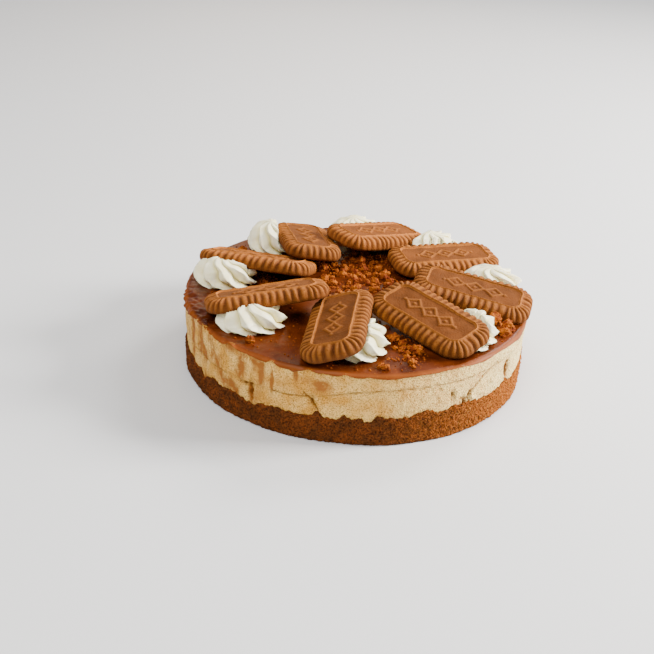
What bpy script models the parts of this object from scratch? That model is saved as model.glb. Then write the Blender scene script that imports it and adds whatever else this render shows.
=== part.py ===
"""A round chilled cheesecake: a crumb base, a mousse filling and a thin caramel glaze.
Eight scalloped spiced biscuits lie round its top, each leaning on a swirl of piped cream,
with biscuit crumbs scattered between them. Metres, +Z up, origin at the centre of the base.
"""

import math
import random

import bmesh
import bpy
from mathutils import Matrix, Vector

# The cake: an 18 cm round in three layers
CAKE_RADIUS = 0.0900
CRUST_HEIGHT = 0.0140
FILLING_TOP = 0.0360
GLAZE_TOP = 0.0385
LAYER_GAP = 0.0003
RIM_WIDTH = 0.0090
BASE_CHAMFER = 0.0010
GLAZE_CHAMFER = 0.0008
ROUND_STEPS = 80

# The uneven lines round the side: height, count and phase of each wave
CRUST_WAVES = ((0.0014, 2, 3.25), (0.0007, 13, 0.9), (0.0006, 22, 2.0))
GLAZE_WAVES = ((0.0004, 3, 1.1), (0.0004, 8, 0.2), (0.0003, 15, 2.6))
SIDE_WAVES = ((0.00025, 5, 0.4), (0.00020, 13, 1.0))

# The biscuit: an oblong with round corners and a ribbed edge
BISCUIT_LENGTH = 0.0620
BISCUIT_WIDTH = 0.0315
BISCUIT_THICKNESS = 0.0070
BISCUIT_CORNER = 0.0110
SCALLOPS = 36
SCALLOP_DEPTH = 0.0011
FOOT_INSET = 0.0010
WAIST_HEIGHT = 0.30 * BISCUIT_THICKNESS
SHOULDER_HEIGHT = 0.80 * BISCUIT_THICKNESS
SHOULDER_INSET = 0.0026
PANEL_INSET = 0.0064
PANEL_BORDER = 0.0009
PANEL_DEPTH = 0.0006

# Where each biscuit lies: x, y and heading, then how far its left side leans up
# on the cream and how far its outer end dips, in degrees
BISCUITS = {
    "biscuit_1": (-0.0072, -0.0577, -94.4, 19.0, 2.4),
    "biscuit_2": (0.0364, -0.0426, -41.9, 10.5, 6.2),
    "biscuit_3": (0.0595, -0.0092, -12.5, 6.5, 7.5),
    "biscuit_4": (0.0470, 0.0402, 21.0, 3.7, 1.5),
    "biscuit_5": (0.0092, 0.0578, 42.5, 2.0, 10.5),
    "biscuit_6": (-0.0300, 0.0436, 103.5, 7.5, 8.0),
    "biscuit_7": (-0.0538, 0.0123, 168.0, 18.0, 0.0),
    "biscuit_8": (-0.0440, -0.0335, 194.5, 15.0, 7.0),
}

# The cream: where each swirl stands, its radius and height, the heading in degrees that
# it is drawn out along under its biscuit, and by how much
SWIRLS = {
    "cream_1": (0.0035, -0.0635, 0.0138, 0.0135, 85.6, 1.25),
    "cream_2": (0.0578, -0.0452, 0.0126, 0.0128, 76.0, 1.38),
    "cream_3": (0.0715, 0.0148, 0.0134, 0.0125, -12.0, 1.25),
    "cream_4": (0.0410, 0.0605, 0.0132, 0.0120, 21.0, 1.25),
    "cream_5": (-0.0040, 0.0760, 0.0125, 0.0122, 42.0, 1.25),
    "cream_6": (-0.0500, 0.0525, 0.0135, 0.0155, 104.0, 1.20),
    "cream_7": (-0.0695, 0.0015, 0.0138, 0.0140, 168.0, 1.25),
    "cream_8": (-0.0500, -0.0475, 0.0138, 0.0130, 194.0, 1.25),
}
SWIRL_LEVELS = ((0.88, 0.0), (1.0, 0.20), (0.90, 0.52), (0.56, 0.84), (0.10, 1.0))
SWIRL_RIDGES = 9
RIDGE_DEPTH = 0.26
RIDGE_STEPS = (1.0, 0.45, 0.0, 0.45)
SWIRL_TWIST = math.radians(75)
SWIRL_START = 0.21
CREAM_CLEARANCE = 0.0004

# The largest crumbs: x, y and radius
LARGE_CRUMBS = (
    (0.0140, 0.0195, 0.0034),
    (-0.0200, 0.0250, 0.0034),
    (0.0010, 0.0380, 0.0030),
    (-0.0080, 0.0180, 0.0026),
    (-0.0025, 0.0130, 0.0028),
    (-0.0010, 0.0005, 0.0027),
    (0.0085, 0.0015, 0.0025),
    (0.0095, 0.0120, 0.0022),
    (-0.0175, 0.0115, 0.0025),
    (0.0105, 0.0465, 0.0020),
    (0.0200, -0.0535, 0.0028),
    (0.0240, -0.0575, 0.0024),
    (0.0305, -0.0645, 0.0034),
    (0.0160, -0.0410, 0.0018),
    (0.0280, -0.0755, 0.0020),
    (0.0160, -0.0830, 0.0021),
    (0.0710, -0.0312, 0.0031),
    (0.0745, -0.0382, 0.0035),
    (0.0778, -0.0350, 0.0022),
    (0.0708, -0.0368, 0.0019),
    (-0.0490, -0.0650, 0.0026),
    (-0.0655, 0.0425, 0.0028),
)
# The smaller ones: centre of each patch, its reach, how many, and the smallest and largest
CRUMB_PATCHES = (
    (-0.001, 0.021, 0.028, 50, 0.0012, 0.0024),
    (0.024, -0.057, 0.011, 8, 0.0012, 0.0020),
    (0.074, -0.036, 0.010, 6, 0.0011, 0.0018),
    (-0.057, -0.005, 0.012, 9, 0.0011, 0.0020),
    (0.020, -0.079, 0.012, 4, 0.0010, 0.0016),
)
CRUMB_SPACING = 0.80
CRUMB_SINK = 0.35
CRUMB_TRIES = 60


def clear_scene():
    for obj in list(bpy.data.objects):
        bpy.data.objects.remove(obj, do_unlink=True)


def new_collection(name, hidden=False):
    made = bpy.data.collections.new(name)
    bpy.context.scene.collection.children.link(made)
    made.hide_render = hidden
    return made


def new_material(name, colour, roughness):
    """A food finish: its colour in linear light, never metallic."""
    made = bpy.data.materials.new(name)
    made.use_nodes = True
    shader = made.node_tree.nodes["Principled BSDF"]
    shader.inputs["Base Color"].default_value = (*colour, 1.0)
    shader.inputs["Roughness"].default_value = roughness
    shader.inputs["Metallic"].default_value = 0.0
    return made


def add_object(name, mesh, collection, material=None):
    made = bpy.data.objects.new(name, mesh)
    collection.objects.link(made)
    if material:
        mesh.materials.clear()
        mesh.materials.append(material)
    return made


def with_modifiers_applied(obj):
    """Gives the object the mesh that its modifiers make, and removes them."""
    bpy.context.view_layer.update()
    evaluated = obj.evaluated_get(bpy.context.evaluated_depsgraph_get())
    mesh = bpy.data.meshes.new_from_object(evaluated)
    obj.modifiers.clear()
    obj.data = mesh
    return obj


def loft(name, rings):
    """A closed mesh through rings of equal count, listed from the bottom up."""
    shape = bmesh.new()
    rows = [[shape.verts.new(point) for point in ring] for ring in rings]
    count = len(rows[0])
    for low, high in zip(rows, rows[1:]):
        for i in range(count):
            j = (i + 1) % count
            shape.faces.new((low[i], low[j], high[j], high[i]))
    shape.faces.new(list(reversed(rows[0])))
    shape.faces.new(rows[-1])
    bmesh.ops.recalc_face_normals(shape, faces=shape.faces)
    mesh = bpy.data.meshes.new(name)
    shape.to_mesh(mesh)
    shape.free()
    return mesh


def keep_largest_piece(obj):
    """Drops the loose scraps that a cut leaves, and keeps the largest connected piece."""
    shape = bmesh.new()
    shape.from_mesh(obj.data)
    unseen = set(shape.verts)
    pieces = []
    while unseen:
        stack = [unseen.pop()]
        piece = []
        while stack:
            vertex = stack.pop()
            piece.append(vertex)
            for edge in vertex.link_edges:
                other = edge.other_vert(vertex)
                if other in unseen:
                    unseen.discard(other)
                    stack.append(other)
        pieces.append(piece)
    pieces.sort(key=len)
    for piece in pieces[:-1]:
        bmesh.ops.delete(shape, geom=piece, context="VERTS")
    shape.to_mesh(obj.data)
    shape.free()


def wave(angle, terms):
    """A sum of sine waves round the cake: each term is height, count and phase."""
    return sum(height * math.sin(count * angle + phase) for height, count, phase in terms)


def crust_line(angle):
    """How far the crust's top edge stands above its mean height at the side."""
    return wave(angle, CRUST_WAVES)


def glaze_line(angle):
    """How far the glaze's lower edge stands above its mean height at the side."""
    return wave(angle, GLAZE_WAVES)


def side_wobble(angle):
    """How far the hand-made side stands out from a true circle, never past CAKE_RADIUS."""
    return wave(angle, SIDE_WAVES) - sum(height for height, _, _ in SIDE_WAVES)


def rim_share(radius):
    """0 inside the cake and 1 at its side, so that only the rim of a layer is uneven."""
    share = (radius - (CAKE_RADIUS - RIM_WIDTH)) / RIM_WIDTH
    return min(1.0, max(0.0, share))


def turned_layer(name, profile, edge_lines, collection, material):
    """Turns a profile round the axis, then makes its rim uneven. edge_lines says which
    heights of the profile follow which line round the side. Splitting each face along its
    short diagonal keeps two layers that share a line parallel all over."""
    mesh = bpy.data.meshes.new(name)
    mesh.from_pydata(
        [(radius, 0.0, height) for radius, height in profile],
        [(i, i + 1) for i in range(len(profile) - 1)],
        [],
    )
    layer = add_object(name, mesh, collection)
    screw = layer.modifiers.new("turn", "SCREW")
    screw.steps = ROUND_STEPS
    screw.render_steps = ROUND_STEPS
    screw.use_merge_vertices = True
    screw.merge_threshold = 0.00001
    with_modifiers_applied(layer)
    for vertex in layer.data.vertices:
        radius = math.hypot(vertex.co.x, vertex.co.y)
        angle = math.atan2(vertex.co.y, vertex.co.x)
        share = rim_share(radius)
        height = vertex.co.z
        for low, high, line in edge_lines:
            if low <= height <= high:
                vertex.co.z += share * line(angle)
        if radius > CAKE_RADIUS - 0.5 * RIM_WIDTH:
            scale = 1.0 + side_wobble(angle) / radius
            vertex.co.x *= scale
            vertex.co.y *= scale
    shape = bmesh.new()
    shape.from_mesh(layer.data)
    bmesh.ops.triangulate(shape, faces=shape.faces, quad_method="SHORT_EDGE")
    shape.to_mesh(layer.data)
    shape.free()
    layer.data.materials.append(material)
    layer.data.shade_smooth()
    layer.data.set_sharp_from_angle(angle=math.radians(35))
    return layer


def make_crust(collection, material):
    """The pressed crumb base. Its foot is flat, and its top edge is ragged at the side."""
    inner = CAKE_RADIUS - RIM_WIDTH
    profile = (
        (0.0, CRUST_HEIGHT),
        (inner, CRUST_HEIGHT),
        (CAKE_RADIUS, CRUST_HEIGHT),
        (CAKE_RADIUS, BASE_CHAMFER),
        (CAKE_RADIUS - BASE_CHAMFER, 0.0),
        (0.0, 0.0),
    )
    top = (CRUST_HEIGHT - 0.0001, CRUST_HEIGHT + 0.0001, crust_line)
    return turned_layer("crust", profile, (top,), collection, material)


def make_filling(collection, material):
    """The mousse, which runs through the cake between the crust and the glaze."""
    inner = CAKE_RADIUS - RIM_WIDTH
    bottom = CRUST_HEIGHT + LAYER_GAP
    profile = (
        (0.0, FILLING_TOP),
        (inner, FILLING_TOP),
        (CAKE_RADIUS, FILLING_TOP),
        (CAKE_RADIUS, bottom),
        (inner, bottom),
        (0.0, bottom),
    )
    lines = (
        (bottom - 0.0001, bottom + 0.0001, crust_line),
        (FILLING_TOP - 0.0001, FILLING_TOP + 0.0001, glaze_line),
    )
    return turned_layer("filling", profile, lines, collection, material)


def make_glaze(collection, material):
    """The set caramel spread over the top, down to an uneven edge at the side."""
    inner = CAKE_RADIUS - RIM_WIDTH
    bottom = FILLING_TOP + LAYER_GAP
    profile = (
        (0.0, GLAZE_TOP),
        (CAKE_RADIUS - GLAZE_CHAMFER, GLAZE_TOP),
        (CAKE_RADIUS, GLAZE_TOP - GLAZE_CHAMFER),
        (CAKE_RADIUS, bottom),
        (inner, bottom),
        (0.0, bottom),
    )
    line = (bottom - 0.0001, bottom + 0.0001, glaze_line)
    return turned_layer("glaze", profile, (line,), collection, material)


def outline_point(share, inset):
    """A point on the biscuit's outline, drawn in by inset. share runs from 0 to 1 round it."""
    straight_x = 0.5 * BISCUIT_LENGTH - BISCUIT_CORNER
    straight_y = 0.5 * BISCUIT_WIDTH - BISCUIT_CORNER
    quarter = 0.5 * math.pi * BISCUIT_CORNER
    lengths = (2 * straight_y, quarter, 2 * straight_x, quarter) * 2
    run = share * sum(lengths)
    side = 0
    while run > lengths[side]:
        run -= lengths[side]
        side += 1
    starts = (
        (straight_x, -straight_y),
        (straight_x, straight_y),
        (straight_x, straight_y),
        (-straight_x, straight_y),
        (-straight_x, straight_y),
        (-straight_x, -straight_y),
        (-straight_x, -straight_y),
        (straight_x, -straight_y),
    )
    x, y = starts[side]
    heading = 0.5 * math.pi * (side // 2)
    if side % 2:
        heading += run / BISCUIT_CORNER
    else:
        x -= run * math.sin(heading)
        y += run * math.cos(heading)
    reach = BISCUIT_CORNER - inset
    return x + reach * math.cos(heading), y + reach * math.sin(heading)


def biscuit_ring(inset, height, scallop):
    """One level of the biscuit: a crest and a valley for each scallop of its edge."""
    count = 2 * SCALLOPS
    ring = []
    for i in range(count):
        drawn_in = inset + scallop * (i % 2)
        x, y = outline_point(i / count, drawn_in)
        ring.append((x, y, height))
    return ring


def biscuit_mesh():
    """The moulded biscuit: flat underneath, ribbed at its edge, with a bordered panel."""
    rings = (
        biscuit_ring(FOOT_INSET, 0.0, 0.5 * SCALLOP_DEPTH),
        biscuit_ring(0.0, WAIST_HEIGHT, SCALLOP_DEPTH),
        biscuit_ring(SHOULDER_INSET, SHOULDER_HEIGHT, 0.6 * SCALLOP_DEPTH),
        biscuit_ring(PANEL_INSET, BISCUIT_THICKNESS, 0.0),
        biscuit_ring(PANEL_INSET + PANEL_BORDER, BISCUIT_THICKNESS - PANEL_DEPTH, 0.0),
    )
    return loft("biscuit", rings)


def place_biscuits(collection, material):
    """Sets the eight biscuits down, each with its lowest rib on the glaze."""
    mesh = biscuit_mesh()
    made = []
    for name, (x, y, heading, lean, dip) in BISCUITS.items():
        biscuit = add_object(name, mesh, collection, material)
        biscuit.rotation_euler = [math.radians(a) for a in (lean, dip, heading)]
        turn = biscuit.rotation_euler.to_matrix()
        lowest = min((turn @ vertex.co).z for vertex in mesh.vertices)
        biscuit.location = (x, y, GLAZE_TOP + LAYER_GAP - lowest)
        made.append(biscuit)
    bpy.context.view_layer.update()
    return made


def swirl_ring(radius, height, turned):
    """One level of a piped swirl: a star whose points stand out by RIDGE_DEPTH."""
    count = SWIRL_RIDGES * len(RIDGE_STEPS)
    ring = []
    for i in range(count):
        sunk = 1.0 - RIDGE_STEPS[i % len(RIDGE_STEPS)]
        reach = radius * (1.0 - RIDGE_DEPTH * sunk)
        angle = 2.0 * math.pi * i / count + turned
        ring.append((reach * math.cos(angle), reach * math.sin(angle), height))
    return ring


def swirl_mesh(name, radius, height):
    """A swirl of cream from a star nozzle: each level is smaller and turned further."""
    rings = [
        swirl_ring(share * radius, rise * height, -rise * SWIRL_TWIST)
        for share, rise in SWIRL_LEVELS
    ]
    return loft(name, rings)


def cream_cutter(biscuit, collection):
    """A block from the biscuit's underside up, a little larger, that presses into the cream."""
    count = 40
    block_top = 0.05
    grow = CREAM_CLEARANCE
    levels = ((FOOT_INSET - grow, -grow), (-grow, WAIST_HEIGHT), (-grow, block_top))
    rings = [
        [(*outline_point(i / count, inset), height) for i in range(count)]
        for inset, height in levels
    ]
    cutter = add_object("press_" + biscuit.name, loft("press", rings), collection)
    cutter.matrix_world = biscuit.matrix_world
    cutter.display_type = "WIRE"
    cutter.hide_render = True
    return cutter


def place_swirls(biscuits, collection, cutters, material):
    """Pipes the eight swirls on the glaze and presses the biscuits into them."""
    presses = [cream_cutter(biscuit, cutters) for biscuit in biscuits]
    for i, (name, (x, y, radius, height, heading, stretch)) in enumerate(SWIRLS.items()):
        swirl = add_object(name, swirl_mesh(name, radius, height), collection, material)
        started = Matrix.Rotation(SWIRL_START * i, 4, "Z")
        drawn_out = Matrix.Diagonal((stretch, 1.0, 1.0, 1.0))
        turned = Matrix.Rotation(math.radians(heading), 4, "Z")
        stood = Matrix.Translation((x, y, GLAZE_TOP + LAYER_GAP))
        swirl.data.transform(stood @ turned @ drawn_out @ started)
        for press in presses:
            cut = swirl.modifiers.new("pressed", "BOOLEAN")
            cut.operation = "DIFFERENCE"
            cut.object = press
        with_modifiers_applied(swirl)
        keep_largest_piece(swirl)
        swirl.data.shade_smooth()
        swirl.data.set_sharp_from_angle(angle=math.radians(50))


def crumb_is_clear(x, y, size, biscuits):
    """True where a crumb of this size lies on the glaze clear of cream and biscuits."""
    room = 1.2 * size + 0.0005
    if math.hypot(x, y) > CAKE_RADIUS - 0.0020 - room:
        return False
    for cream_x, cream_y, radius, _, heading, stretch in SWIRLS.values():
        away = Vector((x - cream_x, y - cream_y))
        away.rotate(Matrix.Rotation(-math.radians(heading), 2))
        if math.hypot(away.x / stretch, away.y) < radius + room:
            return False
    top = GLAZE_TOP + 1.4 * size + 0.0006
    for biscuit in biscuits:
        inward = biscuit.matrix_world.inverted()
        local = inward @ Vector((x, y, top))
        over_x = abs(local.x) < 0.5 * BISCUIT_LENGTH + room
        over_y = abs(local.y) < 0.5 * BISCUIT_WIDTH + room
        if over_x and over_y and local.z > -0.0008 - 0.3 * size:
            return False
    return True


def make_crumbs(biscuits, collection):
    """Broken biscuit in patches on the glaze, large crumbs first, never two on one spot."""
    chance = random.Random(8)
    placed = list(LARGE_CRUMBS)
    for centre_x, centre_y, reach, count, smallest, largest in CRUMB_PATCHES:
        for i in range(count):
            size = largest + (smallest - largest) * (i / count) ** 0.6
            for _ in range(CRUMB_TRIES):
                angle = chance.uniform(0.0, 2.0 * math.pi)
                away = reach * math.sqrt(chance.random())
                x = centre_x + away * math.cos(angle)
                y = centre_y + away * math.sin(angle)
                spaced = all(
                    math.hypot(x - a, y - b) > CRUMB_SPACING * (size + s) for a, b, s in placed
                )
                if spaced and crumb_is_clear(x, y, size, biscuits):
                    placed.append((x, y, size))
                    break
    for i, (x, y, size) in enumerate(placed):
        shape = bmesh.new()
        bmesh.ops.create_icosphere(shape, subdivisions=1, radius=size)
        for vertex in shape.verts:
            vertex.co *= chance.uniform(0.80, 1.20)
        spin = Matrix.Rotation(chance.uniform(0.0, 2.0 * math.pi), 4, "Z")
        squash = Matrix.Diagonal((1.0, chance.uniform(0.75, 1.0), 0.85, 1.0))
        lift = Matrix.Translation((x, y, GLAZE_TOP + CRUMB_SINK * size))
        bmesh.ops.transform(shape, matrix=lift @ spin @ squash, verts=shape.verts)
        mesh = bpy.data.meshes.new(f"crumb_{i}")
        shape.to_mesh(mesh)
        shape.free()
        add_object(mesh.name, mesh, collection)


def join_crumbs(glaze, collection):
    """Makes the glaze and the crumbs that stick to it one solid."""
    join = glaze.modifiers.new("crumbs", "BOOLEAN")
    join.operation = "UNION"
    join.operand_type = "COLLECTION"
    join.collection = collection
    join.solver = "MANIFOLD"
    with_modifiers_applied(glaze)
    for crumb in list(collection.objects):
        bpy.data.objects.remove(crumb, do_unlink=True)
    glaze.data.shade_smooth()
    glaze.data.set_sharp_from_angle(angle=math.radians(30))


def main():
    clear_scene()
    cake = new_collection("cheesecake")
    cutters = new_collection("cutters", hidden=True)
    loose = new_collection("crumbs", hidden=True)
    crust = new_material("crumb_base", (0.165, 0.052, 0.018), 0.90)
    mousse = new_material("mousse", (0.620, 0.420, 0.210), 0.75)
    caramel = new_material("caramel_glaze", (0.260, 0.075, 0.022), 0.30)
    biscuit = new_material("spiced_biscuit", (0.300, 0.110, 0.042), 0.75)
    cream = new_material("whipped_cream", (0.860, 0.840, 0.740), 0.50)

    make_crust(cake, crust)
    make_filling(cake, mousse)
    glaze = make_glaze(cake, caramel)
    biscuits = place_biscuits(cake, biscuit)
    place_swirls(biscuits, cake, cutters, cream)
    make_crumbs(biscuits, loose)
    join_crumbs(glaze, loose)


main()
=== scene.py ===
# The looks of a round chilled cheesecake, layer by layer as it is put together.
import math
import random

import bmesh
import bpy
from mathutils import Euler, Matrix, Vector, noise


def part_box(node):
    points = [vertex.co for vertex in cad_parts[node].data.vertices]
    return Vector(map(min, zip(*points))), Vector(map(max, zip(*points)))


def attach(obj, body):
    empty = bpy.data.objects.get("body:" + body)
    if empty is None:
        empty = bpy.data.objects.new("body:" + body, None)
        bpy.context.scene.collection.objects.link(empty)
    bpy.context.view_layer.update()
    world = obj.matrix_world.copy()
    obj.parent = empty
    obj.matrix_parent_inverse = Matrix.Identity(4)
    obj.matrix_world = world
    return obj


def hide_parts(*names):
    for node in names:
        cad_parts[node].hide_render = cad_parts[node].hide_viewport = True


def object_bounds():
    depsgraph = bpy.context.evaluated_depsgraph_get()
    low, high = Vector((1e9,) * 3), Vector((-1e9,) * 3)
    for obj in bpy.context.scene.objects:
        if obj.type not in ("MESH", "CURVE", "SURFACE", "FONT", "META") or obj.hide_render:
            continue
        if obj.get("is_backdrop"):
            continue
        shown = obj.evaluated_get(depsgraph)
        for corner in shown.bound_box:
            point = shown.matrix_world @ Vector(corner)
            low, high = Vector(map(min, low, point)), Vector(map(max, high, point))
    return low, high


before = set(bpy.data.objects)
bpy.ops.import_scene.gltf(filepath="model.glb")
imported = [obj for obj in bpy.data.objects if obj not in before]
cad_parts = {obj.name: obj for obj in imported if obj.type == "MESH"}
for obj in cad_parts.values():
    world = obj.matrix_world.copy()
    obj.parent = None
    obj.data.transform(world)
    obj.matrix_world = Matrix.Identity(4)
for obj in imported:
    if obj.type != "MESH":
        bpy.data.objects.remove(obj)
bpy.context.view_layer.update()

# The crumb base. Crushed biscuit bound with butter, pressed by hand into an 18 cm ring,
# so its side is a packed mass of small crumbs and its top edge is ragged.
CAKE_RADIUS = 0.0900
CRUST_TOP = 0.0140
RIM_WIDTH = 0.0090
FINE_STEP = 0.0005
# Waves round the cake: height, count and phase
CRUST_WAVES = ((0.0014, 2, 3.25), (0.0007, 13, 0.9), (0.0006, 22, 2.0))
SIDE_WAVES = ((0.00025, 5, 0.4), (0.00020, 13, 1.0))
# Where the pressed crumb was pushed up or down: angle in degrees, rise and half width
CRUST_MARKS = (
    (-155.2, 0.0028, 0.0040), (-144.5, -0.0024, 0.0028), (-138.9, 0.0014, 0.0020), (-133.0, -0.0013, 0.0036),
    (-120.9, -0.0018, 0.0018), (-99.4, 0.0026, 0.0020), (-91.0, 0.0019, 0.0032), (-83.6, -0.0030, 0.0028),
    (-66.5, 0.0018, 0.0056), (-56.5, 0.0018, 0.0030), (-42.7, 0.0010, 0.0030), (-31.1, 0.0015, 0.0026),
    (25.0, -0.0016, 0.0040), (70.0, 0.0020, 0.0050), (104.0, -0.0020, 0.0030), (146.0, 0.0018, 0.0044),
)
# Random bumps: height and size
CRUST_EDGE_BUMPS = ((0.0010, 0.0036), (0.0010, 0.0012))
CRUST_BUMPS = ((0.0003, 0.0090),)
# Packed crumbs: how far they stand out of the side, and their size
PACKED_CRUMBS = ((0.0007, 0.0013), (0.0005, 0.0028))
CRUMBS_SET_IN = 0.0006
FOOT_TUCK = 0.0008
FOOT_HEIGHT = 0.0012
CRUST_DARK = "4a1606"
CRUST_BROWN = "742f0e"
# The pale colour is painted light on the right of the crust.
CRUST_PAINTED_LIGHT = "b8621a"
CRUST_GOLDEN = "d89a48"
# Painted shade in the pits of the crumb.
CRUST_PIT_SHADE = "2c1006"


def add_node(tree, kind, inputs=None, **settings):
    """Adds a node. A number or colour in inputs is set on its socket, and an output is linked.
    A socket goes by its name or its number: in a colour mix, 0 is the share and 6 and 7 are
    the colours, and in a map range, 1 and 2 are the limits from, and 3 and 4 the limits to."""
    node = tree.nodes.new(kind)
    for name, value in settings.items():
        setattr(node, name, value)
    for name, value in (inputs or {}).items():
        if isinstance(value, bpy.types.NodeSocket):
            tree.links.new(value, node.inputs[name])
        else:
            node.inputs[name].default_value = value
    return node


def linear(hex_colour):
    """An sRGB colour such as 8a4418 as the linear red, green, blue and alpha of a socket."""
    parts = [int(hex_colour[i : i + 2], 16) / 255.0 for i in (0, 2, 4)]
    return tuple(c / 12.92 if c <= 0.04045 else ((c + 0.055) / 1.055) ** 2.4 for c in parts) + (1.0,)


def new_finish(name):
    """An empty material with its shader, and the Object coordinates that its patterns follow.
    The scale of a pattern is 1 over its size in metres."""
    finish = bpy.data.materials.new(name)
    finish.use_nodes = True
    tree = finish.node_tree
    place = add_node(tree, "ShaderNodeTexCoord").outputs["Object"]
    return finish, tree, tree.nodes["Principled BSDF"], place


def layered(tree, coat, layers):
    """Colours laid over a first one: each layer is the node that gives its share, and its colour."""
    for share, colour in layers:
        coat = add_node(
            tree, "ShaderNodeMix", {0: share.outputs[0], 6: coat.outputs[2], 7: linear(colour)},
            data_type="RGBA",
        )
    return coat


def wave(angle, terms):
    """A sum of sine waves round the cake: each term is height, count and phase."""
    return sum(height * math.sin(count * angle + phase) for height, count, phase in terms)


def side_spot(angle, height):
    """The point of the cake's side at this angle and height."""
    return Vector((CAKE_RADIUS * math.cos(angle), CAKE_RADIUS * math.sin(angle), height))


def side_radius(angle):
    """The hand-made side stands a little in from a true circle."""
    return CAKE_RADIUS + wave(angle, SIDE_WAVES) - sum(height for height, _, _ in SIDE_WAVES)


def along_side(angle, degrees):
    """Distance along the side from the mark at these degrees to the angle."""
    away = math.degrees(angle) - degrees
    return CAKE_RADIUS * math.radians((away + 180.0) % 360.0 - 180.0)


def near_angle(angle, degrees, width):
    """1 at these degrees round the side, fading to 0 within a few widths of them."""
    return math.exp(-((along_side(angle, degrees) / width) ** 2))


def edge_marks(angle, marks):
    """Sum of the marks on an edge: each is an angle in degrees, a rise and a half width."""
    return sum(rise * near_angle(angle, degrees, width) for degrees, rise, width in marks)


def bumps(spot, terms):
    """A sum of smooth random bumps: each term is their height and their size."""
    return sum(height * noise.noise(spot / size) for height, size in terms)


def crust_edge(angle):
    """Height of the crust's ragged top edge at the side."""
    ragged = bumps(side_spot(angle, 0.0), CRUST_EDGE_BUMPS)
    return CRUST_TOP + wave(angle, CRUST_WAVES) + edge_marks(angle, CRUST_MARKS) + ragged


def creased(spot, size):
    """0 in the creases between packed lumps of this size, and 1 on top of them."""
    near = noise.voronoi(spot / size)[0]
    return min(1.0, 2.0 * (near[1] - near[0]))


def pick(piece, kind, wanted):
    """In edit mode, selects the faces or edges for which wanted is true, and nothing else."""
    bpy.ops.mesh.select_mode(type="FACE" if kind == "faces" else "EDGE")
    bpy.ops.mesh.select_all(action="DESELECT")
    shape = bmesh.from_edit_mesh(piece.data)
    for part in getattr(shape, kind):
        if wanted(part):
            part.select_set(True)
    bmesh.update_edit_mesh(piece.data)


def add_layer(name, low, high, around, rows):
    """A round layer: a cylinder with both ends inset by the rim and its side cut into rows."""
    bpy.ops.object.select_all(action="DESELECT")
    middle = (0.0, 0.0, 0.5 * (low + high))
    bpy.ops.mesh.primitive_cylinder_add(
        vertices=around, radius=CAKE_RADIUS, depth=high - low, location=middle
    )
    layer = bpy.context.object
    layer.name = name
    bpy.ops.object.transform_apply(location=True, rotation=True, scale=True)
    bpy.ops.object.mode_set(mode="EDIT")
    pick(layer, "faces", lambda face: abs(face.normal.z) > 0.9)
    bpy.ops.mesh.inset(thickness=RIM_WIDTH)
    half = 0.5 * (high - low)
    pick(layer, "edges", lambda edge: abs(edge.verts[0].co.z - edge.verts[1].co.z) > half)
    bpy.ops.mesh.subdivide(number_cuts=rows - 1)
    bpy.ops.object.mode_set(mode="OBJECT")
    return layer


def finish_piece(piece, material, slot, *nodes):
    """Shades the piece, gives it its material, and has it stand for its nodes of the cake."""
    piece.data.shade_smooth()
    piece.data.materials.clear()
    piece.data.materials.append(material)
    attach(piece, "root")
    if nodes:
        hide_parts(*nodes)


around = round(2.0 * math.pi * CAKE_RADIUS / FINE_STEP)
crust = add_layer("crumb_base", 0.0, CRUST_TOP, around, round(CRUST_TOP / FINE_STEP))
for vertex in crust.data.vertices:
    x, y, z = vertex.co
    radius = math.hypot(x, y)
    if radius < CAKE_RADIUS - 0.5 * RIM_WIDTH:
        continue
    angle = math.atan2(y, x)
    share = z / CRUST_TOP
    height = share * crust_edge(angle)
    spot = side_spot(angle, height)
    relief = sum(out * creased(spot, size) for out, size in PACKED_CRUMBS)
    relief += bumps(spot, CRUST_BUMPS)
    foot = FOOT_TUCK * max(0.0, 1.0 - height / FOOT_HEIGHT) ** 2
    reach = side_radius(angle) - CRUMBS_SET_IN + relief - foot
    vertex.co = (reach * math.cos(angle), reach * math.sin(angle), height)

# Pressed biscuit crumb: dry and dull, dark brown with golden specks. Painted light makes it paler towards
# the right, with more golden specks there, and painted shade darkens its pits.
pressed_crumb, tree, shader, place = new_finish("pressed_biscuit_crumb")
cells = add_node(tree, "ShaderNodeTexVoronoi", {"Vector": place, "Scale": 1.0 / 0.0009})
cell_tone = add_node(tree, "ShaderNodeSeparateColor", {0: cells.outputs["Color"]})
specks = add_node(tree, "ShaderNodeMapRange", {0: cell_tone.outputs[0], 1: 0.85, 2: 1.0, 4: 0.7})
dull = add_node(tree, "ShaderNodeTexNoise", {"Vector": place, "Scale": 1.0 / 0.0050, "Detail": 5.0})
dull_share = add_node(tree, "ShaderNodeMapRange", {0: dull.outputs[0], 1: 0.38, 2: 0.62})
browned = add_node(
    tree, "ShaderNodeMix", {0: dull_share.outputs[0], 6: linear(CRUST_DARK), 7: linear(CRUST_BROWN)},
    data_type="RGBA",
)
across = add_node(tree, "ShaderNodeSeparateXYZ", {0: place})
# Painted light: paler towards the right, where the light falls strongest, and the golden specks are stronger
# there too.
painted_light_share = add_node(tree, "ShaderNodeMapRange", {0: across.outputs[0], 1: 0.015, 2: 0.085, 4: 0.7})
speck_share = add_node(
    tree, "ShaderNodeMath", {0: specks.outputs[0], 1: painted_light_share.outputs[0], 2: 0.1},
    operation="MULTIPLY_ADD",
)
pits = add_node(tree, "ShaderNodeTexNoise", {"Vector": place, "Scale": 1.0 / 0.0009, "Detail": 4.0})
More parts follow.
